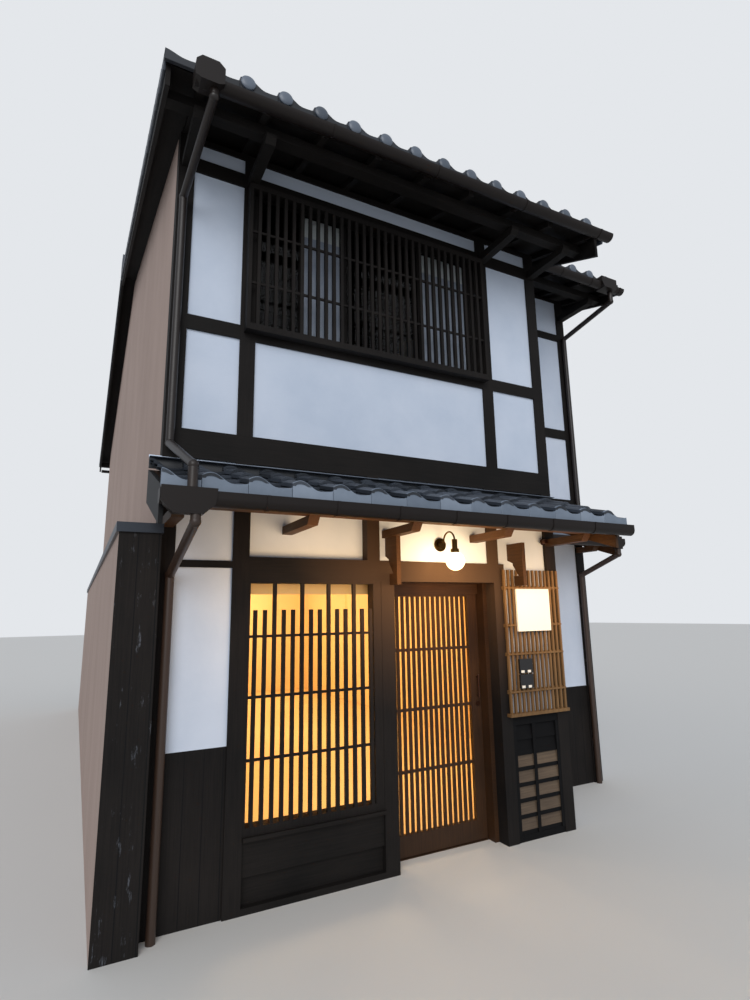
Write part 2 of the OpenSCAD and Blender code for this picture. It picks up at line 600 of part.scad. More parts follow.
// The thin side of the verge tiles, which hangs over the edge of the boards
module verge_side(x, y1, y2) roof_strip(x, x + verge_t + 3, y1, y2, tile_h - 20, 140);
module roof_tiles_front() color(tile_grey) place() {
    roof_field(roof_x1, 15, roof_x1, roof_step_x, 0, [1 : 14], first_roll);
    roof_field(roof_x2 - 5 * tile_w, 5, roof_step_x, roof_x2, wing_y, [1 : 4], 1);
    verge_side(roof_x1 - 3, -eave, ridge_y - 150);
    verge_side(roof_step_x - verge_t, -eave, wing_y - eave - 60);
    verge_side(roof_x2 - verge_t, wing_y - eave, ridge_y - 150);
}
module roof_tiles_rear() color(tile_grey) place() turned_back() {
    roof_field(roof_x1, 20, roof_x1, roof_x2, 0, [1 : 19], first_roll);
    for (x = [roof_x1 - 3, roof_x2 - verge_t]) verge_side(x, -eave, ridge_y - 150);
}

// The ridge: flat tiles stacked in three steps on the bed between the slopes,
// a round cap along the top, and a plain shield tile closing each end
ridge_step = 30;
cap_r = 75;
module ridge() color(tile_grey) place() {
    lean = tile_h * cos(roof_a) * sin(roof_a);
    rise = tile_h * cos(roof_a) * cos(roof_a) + 2 * seat_gap;
    bed = roof_z(ridge_y - ridge_w, tile_h);
    half = concat([[ridge_w, bed], [ridge_w + lean, bed + rise]],
        [for (i = [0 : 2]) for (j = [0, 1]) [145 - 15 * i, ridge_z - 30 + ridge_step * (i + j)]]);
    top = ridge_z - 30 + 3 * ridge_step;
    along_x(roof_x1 + 50, roof_x2 - roof_x1 - 100) translate([ridge_y, 0]) {
        polygon(concat(half, [for (i = [len(half) - 1 : -1 : 0]) [-half[i][0], half[i][1]]], [[0, roof_z(ridge_y, tile_h)]]));
        translate([0, top]) circle(r = cap_r);
    }
    shield = [[140, -3], [175, 5], [165, 130], [95, 215]];
    for (x = [roof_x1, roof_x2 - 50]) along_x(x, 50) translate([ridge_y, ridge_z]) polygon(concat(
        [for (p = shield) [p[0], p[1] - (p[1] < 100 ? pitch * p[0] - 6 : 0)]],
        [for (i = [3 : -1 : 0]) [-shield[i][0], shield[i][1] - (shield[i][1] < 100 ? pitch * shield[i][0] - 6 : 0)]]));
}

// Boards under the verges. The one at the step stands in from the tiles' edge
// and deepens towards the eave
board_t = 30;
step_board_x = 3640;
wing_board_x = 4912;
verge_drop = 258;
ridge_gap = 4;
module verge_boards() color(dark_timber) place() {
    for (x = [roof_x1 + verge_t, wing_board_x]) {
        front = x < 0 ? 10 - eave : wing_y - eave + 25;
        drop = x < 0 ? verge_drop : verge_drop + 17;
        roof_strip(x, x + board_t, front, ridge_y - ridge_gap / 2, under_boards + seat_gap, drop);
        mirrored_back() roof_strip(x, x + board_t, 10 - eave, ridge_y - ridge_gap / 2, under_boards + seat_gap, drop);
    }
    step_end = wing_y - eave + 5;
    along_x(step_board_x, board_t) polygon([[10 - eave, roof_z(10 - eave, under_boards)], [10 - eave, 5070],
        [step_end, 5425], [step_end, roof_z(step_end, under_boards)]]);
}

// Gutters on flat straps whose tails reach back to the rafters, closed at their
// ends. Those of the main roof are half-round, with a fall along the front,
// those of the pent roofs are deeper
gutter_d = 105;
gutter_h = 56;
gutter_out = 95;
pent_gutter_d = 90;
pent_gutter_drop = 121;
sheet = 3;
strap_w = 20;
module u_shape(d, h) {
    intersection() {
        translate([0, d / 2 - h]) circle(d = d);
        translate([-d / 2, -h]) square([d, h]);
    }
    translate([-d / 2, d / 2 - h]) square([d, h - d / 2]);
}
module trough(len, d, h, first_cap = sheet) difference() {
    along_x(0, len) u_shape(d, h);
    along_x(first_cap, len - first_cap - sheet) translate([0, 1]) u_shape(d - 2 * sheet, h - sheet + 1);
}
module strap(d, h) along_x(0, strap_w) difference() {
    u_shape(d + 8, h + 4);
    u_shape(d - 2, h - 1);
}
module main_gutter(x1, x2, wall_y, z, fall, straps) {
    y = wall_y - eave - gutter_out;
    back = y + gutter_d / 2 - 4;
    rafter_y = wall_y - eave + 50;
    rafter_low = roof_z(rafter_y, under_rafters);
    translate([x1, y, z]) rotate([0, -atan(fall), 0]) {
        trough(x2 - x1, gutter_d, gutter_h);
        for (x = straps) translate([x - x1, 0, 0]) strap(gutter_d, gutter_h);
    }
    for (x = straps) along_x(x, strap_w) polygon([
        [back, z + fall * (x - x1) - 8], [back, z + fall * (x - x1)], [rafter_y, rafter_low + 30], [rafter_y, rafter_low + 8]]);
}
module pent_gutter(x1, x2, wall_y, out, first_cap = sheet) {
    y = wall_y - out - 45;
    z = pent_roof_z(out, pent_gutter_drop);
    translate([x1, y, z]) {
        trough(x2 - x1, pent_gutter_d, pent_gutter_d - 5, first_cap);
        for (x = [140 : rafter_pitch : x2 - x1 - 60]) translate([x, 0, 0]) {
            strap(pent_gutter_d, pent_gutter_d - 5);
            block([0, pent_gutter_d / 2 - 2, -8], [strap_w, 65, 0]);
        }
    }
}
// Rain hoppers: two tall ones at the eaves, a wide one on the pent roof's
// gutter and a small one on the other
main_hopper = [[-25, 5120], [-25, 5235], [10, 5272], [115, 5272], [155, 5235], [155, 5120], [120, 5105], [10, 5105]];
wing_eave_hopper = [[4600, 5408], [4565, 5470], [4565, 5532], [4800, 5532], [4800, 5470], [4790, 5408]];
pent_hopper = [[-84, 2512], [212, 2512], [202, 2424], [140, 2365], [-20, 2365], [-84, 2430]];
wing_hopper = [4680, 288];
module gutters() color(gutter_brown) place() {
    main_gutter(-20, roof_step_x - 48, 0, 5161, 0.0177, [for (i = [0 : 2 : 8]) rafter_x[i] + 15]);
    main_gutter(roof_step_x + 7, 4944, wing_y, 5470, 0, [for (i = [9, 10, 11]) rafter_x[i] + 15]);
    mirrored_back() main_gutter(roof_x1 + 60, roof_x2 - 60, 0, 5195, 0, [for (i = [0 : 2 : 10]) rafter_x[i] + 15]);
    pent_gutter(pent_x1 - 8, pent_x2 + 16, 0, pent_eave);
    pent_gutter(wing_pent_x1, wing_pent_x2 + 8, wing_y, wing_eave, -1);
    along_y(-815, 122) polygon(main_hopper);
    along_y(wing_y - 815, 122) polygon(wing_eave_hopper);
    along_y(-803, 60) polygon(pent_hopper);
    block([wing_hopper[0] - 40, wing_hopper[1] - 30, 2455], [wing_hopper[0] + 43, wing_hopper[1] + 29, 2588]);
}

// Round rainwater pipes with a collar at each bend: from the hopper back under
// the eave to the corner, down over the pent roof into its hopper, and from
// there to the ground
pipe_d = 56;
module tube(a, b) {
    v = b - a;
    translate(a) rotate([0, acos(v[2] / norm(v)), atan2(v[1], v[0])]) cylinder(d = pipe_d, h = norm(v));
}
module pipe(route) {
    for (i = [1 : len(route) - 1]) tube(route[i - 1], route[i]);
    for (i = [1 : len(route) - 2]) translate(route[i]) sphere(d = pipe_d + 6);
}
corner_y = -48;
wing_corner_y = 827;
module downpipes() color(gutter_brown) place() {
    pipe([[100, -755, 5105], [100, -755, 5055], [38, corner_y, 4830], [38, corner_y, 2960],
        [78, -772, 2640], [78, -772, 2512]]);
    pipe([[102, -772, 2365], [102, -772, 2325], [84, corner_y, 2087], [84, corner_y, 0]]);
    pipe([[4757, 115, 5408], [4757, 115, 5290], [4730, wing_corner_y, 5140], [4730, wing_corner_y, 2985],
        [4690, 288, 2780], [4680, 288, 2720], [4680, 288, 2588]]);
    pipe([[4680, 288, 2455], [4680, 288, 2400], [4690, wing_corner_y, 2212], [4690, wing_corner_y, 0]]);
    for (z = [420, 1250, 1850]) {
        block([66, corner_y + 24, z], [102, 0, z + 30]);
        block([4672, wing_corner_y + 24, z], [4708, wing_y, z + 30]);
    }
    for (z = [3300, 4200]) {
        block([20, corner_y + 24, z], [56, 0, z + 30]);
        block([4712, wing_corner_y + 24, z], [4748, wing_y, z + 30]);
    }
}

ground_slab();
upper_floor();
floor_joists();
lower_posts();
upper_posts();
front_girth();
side_girths();
cross_girths();
front_rails();
wall_plates();
front_plaster_upper();
front_plaster_lower();
front_dado();
left_wall();
low_side_wall();
low_wall_boards();
low_wall_coping();
right_plaster();
right_rails();
rear_plaster();
rear_rails();
rear_dado();
shop_window_frame();
shop_window_lattice();
shop_window_glass();
shop_window_apron();
upper_window_lattice();
upper_window_sashes();
upper_window_glass();
door_leaf();
door_slats();
door_glass();
door_pull();
door_frame();
slat_screen();
lap_siding();
notice_board();
sign_plate();
wall_lamp();
lamp_globe();
pent_deck();
pent_tiles();
pent_brackets();
roof_deck();
roof_tiles_front();
roof_tiles_rear();
ridge();
verge_boards();
gutters();
downpipes();
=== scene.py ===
import math
import bpy
import bmesh
from mathutils import Matrix, Vector


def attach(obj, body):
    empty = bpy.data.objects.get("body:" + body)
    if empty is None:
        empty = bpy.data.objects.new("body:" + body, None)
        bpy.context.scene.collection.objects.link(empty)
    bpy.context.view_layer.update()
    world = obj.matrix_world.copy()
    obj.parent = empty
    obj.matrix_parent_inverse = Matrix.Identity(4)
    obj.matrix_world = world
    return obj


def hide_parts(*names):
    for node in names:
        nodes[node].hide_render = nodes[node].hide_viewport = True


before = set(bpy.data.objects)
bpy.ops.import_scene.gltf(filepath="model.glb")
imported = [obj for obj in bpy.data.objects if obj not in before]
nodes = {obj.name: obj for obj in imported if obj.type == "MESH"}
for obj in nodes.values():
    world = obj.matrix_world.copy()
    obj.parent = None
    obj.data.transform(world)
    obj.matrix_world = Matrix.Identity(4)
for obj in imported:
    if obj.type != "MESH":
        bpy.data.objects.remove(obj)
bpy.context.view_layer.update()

# The view from the street: a wide lens at eye height, left of the house and
# tilted up a little, turned so that the front and the left wall both show. The
# turn is an axis whose length is the angle, for a camera that starts level.
scene = bpy.context.scene
camera = bpy.data.objects.new("street_camera", bpy.data.cameras.new("street_camera"))
scene.collection.objects.link(camera)
scene.camera = camera
camera.data.sensor_fit = "VERTICAL"
camera.data.sensor_height = 36
camera.data.lens = 20.40
camera.data.clip_end = 200
camera.location = (-2.8245, -8.7404, 1.8301)
camera.rotation_mode = "QUATERNION"
turn_axis = Vector((-0.19617341, -0.47839302, 0.03088797))
level = Matrix(((1, 0, 0), (0, 0, -1), (0, 1, 0)))
seen = Matrix.Rotation(turn_axis.length, 3, turn_axis) @ level
camera.rotation_quaternion = Matrix((seen[0], -seen[1], -seen[2])).transposed().to_quaternion()


# Plain pale ground and an even light: a low sun with a very soft edge from the
# left front, and a bright sky all round so that the eaves' undersides still read.
def linear(colour):
    """An sRGB hex value as a linear colour with alpha."""
    parts = [int(colour[i:i + 2], 16) / 255 for i in (1, 3, 5)]
    return [p / 12.92 if p <= 0.04045 else ((p + 0.055) / 1.055) ** 2.4 for p in parts] + [1]


def add(tree, kind, inputs=None, **settings):
    """Adds a node with its settings, and gives each named input a value or another node's output.

    A Mix node of colours takes them in inputs 6 and 7 and gives the result in output 2."""
    node = tree.nodes.new(kind)
    for key, value in settings.items():
        setattr(node, key, value)
    for key, value in (inputs or {}).items():
        if isinstance(value, bpy.types.Node):
            value = value.outputs[0]
        if isinstance(value, bpy.types.NodeSocket):
            tree.links.new(value, node.inputs[key])
        else:
            node.inputs[key].default_value = value
    return node


def new_material(name, roughness, **sockets):
    """A material whose principled shader has these values in its plain sockets."""
    material = bpy.data.materials.new(name)
    material.use_nodes = True
    shader = material.node_tree.nodes["Principled BSDF"]
    shader.inputs["Roughness"].default_value = roughness
    for key, value in sockets.items():
        shader.inputs[key.replace("_", " ")].default_value = value
    return material


bpy.ops.mesh.primitive_plane_add(size=120, location=(0, 0, 0))
ground = bpy.context.object
ground.name = "ground"
ground.data.materials.append(new_material("pale_ground", 0.9, Base_Color=linear("#d6d5d2")))

scene.view_settings.view_transform = "Standard"
world = bpy.data.worlds.new("even_sky")
scene.world = world
world.use_nodes = True
tree = world.node_tree
tree.nodes.clear()
ray = add(tree, "ShaderNodeLightPath").outputs
direct = add(tree, "ShaderNodeMath", {0: ray["Is Camera Ray"], 1: ray["Is Transmission Ray"]},
             operation="MAXIMUM")
lit = add(tree, "ShaderNodeBackground", {"Color": linear("#e9eef6"), "Strength": 0.62})
shown = add(tree, "ShaderNodeBackground", {"Color": linear("#e4e7eb"), "Strength": 1.0})
mixed = add(tree, "ShaderNodeMixShader", {0: direct, 1: lit, 2: shown})
add(tree, "ShaderNodeOutputWorld", {"Surface": mixed})

sun = bpy.data.objects.new("soft_sun", bpy.data.lights.new("soft_sun", "SUN"))
scene.collection.objects.link(sun)
sun.data.energy = 1.5
sun.data.angle = math.radians(40)
sun.rotation_euler = (math.radians(62), 0, math.radians(-28))


# The timber frame: cedar posts and beams stained nearly black, planed, with a
# faint grain along each piece. Round the street door, below the pent roof, a pool
# of the lamp's warm light is painted on in brown. Upright, cross and side pieces differ in grain.
room_left = -2.330
room_right = 2.320
room_front = -4.758
room_back = 4.790
step_side = 1.023
step_front = -3.935
# The rooms' ochre coat, which also stands in for the warm glow of the room lamps.
ochre_coat_and_glow = "#ead09a"
post_backs = -4.600
fibre = 0.009
fibre_stretch = 0.03
# Painted light: a pool of the lamp's warm light, brown on the timber round the door.
lamp_pool_middle = (-0.150, -4.900, 2.250)
lamp_pool_top = 2.780
painted_lamp_light_brown = "#46362a"


def coordinates(tree, scale=(1, 1, 1)):
    """Object coordinates. A pattern on them is longer along an axis whose scale is under 1."""
    place = add(tree, "ShaderNodeTexCoord").outputs["Object"]
    return add(tree, "ShaderNodeMapping", {"Vector": place, "Scale": scale})


def cover(material, tint, relief=None):
    """Gives a material's shader the colour of a pattern, and the relief if there is one."""
    tree = material.node_tree
    shader = tree.nodes["Principled BSDF"]
    tree.links.new(tint.outputs[2], shader.inputs["Base Color"])
    if relief is not None:
        tree.links.new(relief.outputs[0], shader.inputs["Normal"])


def glow_tinted_coat(tree, outside, front=room_front, right=room_right):
    """The colour outside, and indoors a coat of pale ochre clay, which also stands in for the warm glow of
    the room lamps.
    """
    place = add(tree, "ShaderNodeSeparateXYZ", {0: coordinates(tree)}).outputs
    limits = (("X", "LESS_THAN", step_side), ("Y", "GREATER_THAN", step_front),
              ("X", "GREATER_THAN", room_left), ("X", "LESS_THAN", right),
              ("Y", "GREATER_THAN", front), ("Y", "LESS_THAN", room_back))
    past = [add(tree, "ShaderNodeMath", {0: place[axis], 1: limit}, operation=test)
            for axis, test, limit in limits]
    indoors = add(tree, "ShaderNodeMath", {0: past[0], 1: past[1]}, operation="MAXIMUM")
    for one in past[2:]:
        indoors = add(tree, "ShaderNodeMath", {0: indoors, 1: one}, operation="MULTIPLY")
    return add(tree, "ShaderNodeMix", {0: indoors, 6: outside.outputs[2], 7: linear(ochre_coat_and_glow)},
               data_type="RGBA")


def timber(name, low, high, along, roughness=0.7, shine=0.2, dark=None, coat_and_glow_limits=None, painted_lamp_pool=False):
    """Stained wood: fibres as streaks along one axis, broad patches and a fine relief.

    Real fibres are 1 or 2 mm wide. These are drawn 9 mm wide, so that they show from the street.
    The wood is black where dark says, has the ochre coat within the limits given, which also stands
    in for the warm glow of the room lamps, and may have a painted pool of the lamp's warm light by the
    door."""
    material = new_material(name, roughness, Specular_IOR_Level=shine)
    tree = material.node_tree
    stretch = [1, 1, 1]
    stretch["xyz".index(along)] = fibre_stretch
    streaks = add(tree, "ShaderNodeTexNoise", {"Vector": coordinates(tree, stretch),
                                              "Scale": 1 / fibre, "Detail": 5, "Roughness": 0.7})
    patches = add(tree, "ShaderNodeTexNoise", {"Vector": coordinates(tree), "Scale": 1.7, "Detail": 4})
    both = add(tree, "ShaderNodeMath", {0: streaks.outputs["Fac"], 1: patches.outputs["Fac"]},
               operation="ADD")
    spread = add(tree, "ShaderNodeMapRange", {"Value": both, "From Min": 0.7, "From Max": 1.3})
    tint = add(tree, "ShaderNodeMix", {0: spread, 6: linear(low), 7: linear(high)}, data_type="RGBA")
    if dark:
        tint = add(tree, "ShaderNodeMix", {0: dark(tree), 6: tint.outputs[2], 7: linear("#08080a")},
                   data_type="RGBA")
    if coat_and_glow_limits:
        tint = glow_tinted_coat(tree, tint, **coat_and_glow_limits)
    # Painted light: brown near the lamp and below the pent roof, for the lamp's warm light.
    if painted_lamp_pool:
        away = add(tree, "ShaderNodeVectorMath", {0: coordinates(tree), 1: lamp_pool_middle},
                   operation="DISTANCE").outputs["Value"]
        near = add(tree, "ShaderNodeMapRange", {"Value": away, "From Min": 1.3, "From Max": 0.3})
        up = add(tree, "ShaderNodeSeparateXYZ", {0: coordinates(tree)}).outputs["Z"]
        under_pent_roof = add(tree, "ShaderNodeMath", {0: up, 1: lamp_pool_top}, operation="LESS_THAN")
        near = add(tree, "ShaderNodeMath", {0: near, 1: under_pent_roof}, operation="MULTIPLY")
        tint = add(tree, "ShaderNodeMix", {0: near, 6: tint.outputs[2], 7: linear(painted_lamp_light_brown)},
                   data_type="RGBA")
    ridges = add(tree, "ShaderNodeBump", {"Height": streaks.outputs["Fac"], "Strength": 0.35,
                                         "Distance": 0.002})
    cover(material, tint, ridges)
    return material


def dress(material, *names):
    """Gives CAD pieces their finish."""
    for name in names:
        for slot in nodes[name].material_slots:
            slot.material = material


black_up = timber("stained_cedar_upright", "#0d0b0b", "#1f1b19", "z", painted_lamp_pool=True)
black_across = timber("stained_cedar_across", "#0c0b0a", "#1d1917", "x", painted_lamp_pool=True)
black_posts = timber("stained_cedar_posts", "#0d0b0b", "#1f1b19", "z",
                     coat_and_glow_limits={"front": post_backs}, painted_lamp_pool=True)
black_deep = timber("stained_cedar_deep", "#0d0b0b", "#1e1a18", "y")
dress(black_posts, "lower_posts", "upper_posts", "rear_rails")
dress(black_across, "front_girth", "front_rails", "cross_girths", "wall_plates")
dress(black_deep, "side_girths", "right_rails")


# Lime plaster panels between the timbers: trowelled smooth, cool white, with
# soft clouding. Indoors they have a coat of pale ochre clay, as the posts do, which
# also stands in for the warm glow of the room lamps.
def plaster(name, light, dull, scale=2.2, roughness=0.85):
    """Trowelled mineral surface: soft clouds of tone about half a metre wide, and fine sand.

    The sand is drawn 6 mm coarse, so that it shows."""
    material = new_material(name, roughness)
    tree = material.node_tree
    clouds = add(tree, "ShaderNodeTexNoise", {"Vector": coordinates(tree), "Scale": scale,
                                             "Detail": 6, "Roughness": 0.6})
    spread = add(tree, "ShaderNodeMapRange", {"Value": clouds.outputs["Fac"], "From Min": 0.35,
                                             "From Max": 0.7})
    tint = add(tree, "ShaderNodeMix", {0: spread, 6: linear(light), 7: linear(dull)},
               data_type="RGBA")
    sand = add(tree, "ShaderNodeTexNoise", {"Vector": coordinates(tree), "Scale": 160, "Detail": 4})
    grain = add(tree, "ShaderNodeBump", {"Height": sand.outputs["Fac"], "Strength": 0.25,
                                        "Distance": 0.002})
    cover(material, glow_tinted_coat(tree, tint), grain)
    return material


cool_plaster = plaster("lime_plaster", "#c8d2e2", "#bcc8da")
dress(cool_plaster, "front_plaster_upper", "front_plaster_lower", "right_plaster", "rear_plaster")


# The left wall and the low wall along it: sprayed mortar in a pinkish beige, with
# lumps of about 4 mm and faint rain marks 0.6 m wide that run down it. The low
# wall has a coping of folded sheet steel, dark grey and slightly shiny.
mortar = new_material("sprayed_mortar", 0.95)
tree = mortar.node_tree
lumps = add(tree, "ShaderNodeTexNoise", {"Vector": coordinates(tree), "Scale": 120, "Detail": 3})
streaks = add(tree, "ShaderNodeTexNoise", {"Vector": coordinates(tree, (1, 1, 0.35)), "Scale": 1.6,
                                          "Detail": 6, "Roughness": 0.65})
spread = add(tree, "ShaderNodeMapRange", {"Value": streaks.outputs["Fac"], "From Min": 0.3,
                                         "From Max": 0.75})
tint = add(tree, "ShaderNodeMix", {0: spread, 6: linear("#a8948b"), 7: linear("#98857c")},
           data_type="RGBA")
relief = add(tree, "ShaderNodeBump", {"Height": lumps.outputs["Fac"], "Strength": 0.6,
                                     "Distance": 0.004})
cover(mortar, glow_tinted_coat(tree, tint), relief)
dress(mortar, "left_wall", "low_side_wall")

coping_metal = new_material("folded_sheet_coping", 0.4, Metallic=0.6, Base_Color=linear("#3a3f47"))
dress(coping_metal, "low_wall_coping")


# The dado at the foot of the front and the back: upright cedar boards 120 mm
# wide, nailed side by side and stained black, with dark joints between them.
board_w = 0.120
board_gap = 0.006
board_start = 0.005


def joints(tree, axis, pitch, width, start=0.0):
    """1 in the joints that lie a pitch apart along an axis, 0 between them."""
    place = add(tree, "ShaderNodeSeparateXYZ", {0: coordinates(tree)}).outputs[axis]
    shifted = add(tree, "ShaderNodeMath", {0: place, 1: start}, operation="SUBTRACT")
    count = add(tree, "ShaderNodeMath", {0: shifted, 1: pitch}, operation="DIVIDE")
    part = add(tree, "ShaderNodeMath", {0: count}, operation="FRACT")
    return add(tree, "ShaderNodeMath", {0: part, 1: width / pitch}, operation="LESS_THAN")


def board_gaps(tree):
    """The joints between upright boards."""
    return joints(tree, "X", board_w, board_gap, board_start)


dado_boards = timber("dado_boards", "#0d0b0b", "#1f1b19", "z", dark=board_gaps,
                     coat_and_glow_limits={"front": room_front})
dress(dado_boards, "front_dado", "rear_dado")


# The boards on the low wall's end are the same black cedar. They have pale
# marks along the grain, 10 to 40 mm wide, where rain has flaked the stain off.
flaked = timber("flaked_boards", "#0d0b0b", "#1f1b19", "z", dark=board_gaps)
tree = flaked.node_tree
stain = tree.nodes["Principled BSDF"].inputs["Base Color"].links[0].from_socket
flakes = add(tree, "ShaderNodeTexNoise", {"Vector": coordinates(tree, (1, 1, 0.2)), "Scale": 26,
                                         "Detail": 7, "Roughness": 0.75})
bare = add(tree, "ShaderNodeMapRange", {"Value": flakes.outputs["Fac"], "From Min": 0.60,
                                       "From Max": 0.70, "To Max": 0.55})
tint = add(tree, "ShaderNodeMix", {0: bare, 6: stain, 7: linear("#7d838d")}, data_type="RGBA")
cover(flaked, tint)
dress(flaked, "low_wall_boards")


# Floors: a slab of concrete below, floated smooth and a little shiny, and above
# it planed cedar boards on joists, warm brown and unstained.
concrete = plaster("floated_concrete", "#c9bda8", "#b3a690", scale=1.5, roughness=0.7)
floor_boards = timber("cedar_floor_boards", "#8a6440", "#a67c50", "y", roughness=0.45, shine=0.5)
dress(concrete, "ground_slab")
dress(floor_boards, "upper_floor", "floor_joists")


# The windows: lattices of thin stained bars before panes of clear float glass,
# which mirror little and let all the warm light of the rooms through.
clear_glass = new_material("float_glass", 0.02, Transmission_Weight=1.0, IOR=1.2)
panes = ("shop_window_glass", "door_glass", "upper_window_glass")
dress(clear_glass, *panes)
for name in panes:
    nodes[name].visible_shadow = False
dress(black_up, "shop_window_frame", "shop_window_lattice", "upper_window_lattice",
      "upper_window_sashes")
dress(black_across, "shop_window_apron")


# The street door: cedar stained a warm dark brown, slats over clear glass, and a
# pull of dark bronze, worn to a soft shine. The frame's rail runs on behind the
# shop window, where it has the rooms' ochre coat, painted there for the warm glow of the room lamps.
hidden_rail = {"front": -4.700, "right": -0.700}
brown_up = timber("brown_cedar_upright", "#21140b", "#432b17", "z", roughness=0.55, shine=0.3)
brown_rail = timber("brown_cedar_rail", "#21140b", "#432b17", "x", roughness=0.55, shine=0.3,
                    coat_and_glow_limits=hidden_rail)
pull_bronze = new_material("dark_bronze", 0.35, Metallic=0.9, Base_Color=linear("#54382b"))
dress(brown_up, "door_leaf", "door_slats")
dress(brown_rail, "door_frame")
dress(pull_bronze, "door_pull")


# The slatted screen on the right bay: thin sawn slats of natural cedar, tied to
# battens. Oil has turned them golden brown.
tan_up = timber("oiled_cedar", "#574027", "#7f623f", "z", roughness=0.6, shine=0.3)
dress(tan_up, "slat_screen")


# The lapped boards under the screen: cedar that rain has faded to a grey brown,
# with painted shade along the lower edge of each board, under its lap, darker
# boards at the top and at the foot, and the black battens that hold them.
siding_foot = 0.050
siding_lap = 0.120
# Painted shade under each board's lap, along its lower edge.
lap_shade_height = 0.030
faded_top = 0.680
batten_face = -4.842


def siding_shade(tree):
    """The battens, the darker boards at the top and at the foot, and painted shade along the lower edge of
    each board.
    """
    place = add(tree, "ShaderNodeSeparateXYZ", {0: coordinates(tree)}).outputs
    edges = joints(tree, "Z", siding_lap, lap_shade_height, siding_foot)
    middle = (siding_foot + faded_top) / 2
    faded = add(tree, "ShaderNodeMath", {0: place["Z"], 1: middle, 2: middle - siding_foot},
                operation="COMPARE")
    darker_top_and_foot = add(tree, "ShaderNodeMath", {0: 1.0, 1: faded}, operation="SUBTRACT")
    battens = add(tree, "ShaderNodeMath", {0: place["Y"], 1: batten_face}, operation="LESS_THAN")
    either = add(tree, "ShaderNodeMath", {0: edges, 1: darker_top_and_foot}, operation="MAXIMUM")
    return add(tree, "ShaderNodeMath", {0: either, 1: battens}, operation="MAXIMUM")


weathered = timber("weathered_boards", "#4a4038", "#6f6050", "x", roughness=0.8, dark=siding_shade)
dress(weathered, "lap_siding")


# On the screen hang a blank white board and, below it, two blank plates of dark
# enamel, both smooth enough to catch the lamp's light.
board_white = new_material("white_board", 0.35, Base_Color=linear("#e9e8e2"))
dark_plate = new_material("dark_enamel", 0.35, Base_Color=linear("#1c1d21"))
dress(board_white, "notice_board")
dress(dark_plate, "sign_plate")


# The lamp over the door: an aged brass neck and a round opal glass globe that
# glows warm. A round light in the globe and a wide one under the eave give its
# warmth to the plaster, the door and the screen.
brass = new_material("aged_brass", 0.38, Metallic=1.0, Base_Color=linear("#6b5029"))
opal = new_material("opal_glass", 0.3, Base_Color=linear("#fff3dc"),
                    Emission_Color=linear("#ffe2ac"), Emission_Strength=3.0)
dress(brass, "wall_lamp")
dress(opal, "lamp_globe")
nodes["lamp_globe"].visible_shadow = False


def glow(name, kind, place, power, colour, size):
    """A warm light that is itself unseen: a ball of that radius, or a square with that side."""
    lamp = bpy.data.objects.new(name, bpy.data.lights.new(name, kind))
    scene.collection.objects.link(lamp)
    lamp.location = place
    lamp.data.energy = power
    lamp.data.color = colour
    setattr(lamp.data, "shadow_soft_size" if kind == "POINT" else "size", size)
    lamp.visible_camera = False
    lamp.visible_transmission = False
    lamp.visible_glossy = False
    return lamp


globe_middle = (-0.185, -5.046, 2.216)
globe_r = 0.07
wash_middle = (-0.200, -5.480, 2.000)
wash_w = 3.0
wash_h = 0.3
wash_tilt = 105
glow("globe_light", "POINT", globe_middle, 9, (1.0, 0.68, 0.34), globe_r)
wash = glow("globe_wash", "AREA", wash_middle, 26, (1.0, 0.62, 0.28), wash_w)
wash.data.shape = "RECTANGLE"
wash.data.size_y = wash_h
wash.rotation_euler = (math.radians(wash_tilt), 0, 0)


# The roofs' boards and brackets: sawn cedar, brown and dry under the pent roof,
# black under the main roof. The pent roof's left end board is black too.
end_board_side = -2.440


def end_board(tree):
    """The pent roof's left end board."""
    place = add(tree, "ShaderNodeSeparateXYZ", {0: coordinates(tree)}).outputs["X"]
    return add(tree, "ShaderNodeMath", {0: place, 1: end_board_side}, operation="LESS_THAN")


brown_deep = timber("brown_cedar_deep", "#2e1f12", "#53371e", "y", roughness=0.6, shine=0.3,
                    dark=end_board)
dress(brown_deep, "pent_deck", "pent_brackets")
dress(black_deep, "roof_deck", "verge_boards")


# Smoked clay tiles: each one is its own curved sheet, hung in rows so that it
# laps the row below it and rolls over its neighbour. The eave row ends in flat
# fronts, on the main roof with a round end over every roll.
tile_w = 0.264
tile_show = 0.235
tile_lap = 0.050
tile_t = 0.016
tile_wave = 0.058
tile_play = 0.002
tile_out = 0.012
roll_end = 0.48
pan_curve = 1.6
raised_edge = 0.2
raised_height = 0.67
raised_curve = 0.33
wave_parts = (-0.15, -0.1, -0.05, 0, 0.05, 0.1, 0.16, 0.22, 0.28, 0.34, 0.4, 0.48, 0.6, 0.72)
first_roll = 0.45
plate_t = 0.026
plate_out = 0.020
plate_up = 0.004
disc_r = 0.050
disc_depth = 0.034
disc_out = 0.015
disc_drop = 0.048
disc_dome = ((0.003, 0.003), (0.009, 0.0045), (0.014, 0.003), (0.014, 0.001))
verge_t = 0.018
verge_drop = 0.064
verge_up = 0.020
verge_lap = 0.030
verge_sink = 0.014
crest = 0.084
main_slope = 0.305
main_top = 7.062
roof_left = -2.590
roof_step = 1.370
roof_right = 2.650
wing_grid = roof_right - 5 * tile_w
eave_front = -5.520
wing_front = -4.660
under_ridge = -0.105


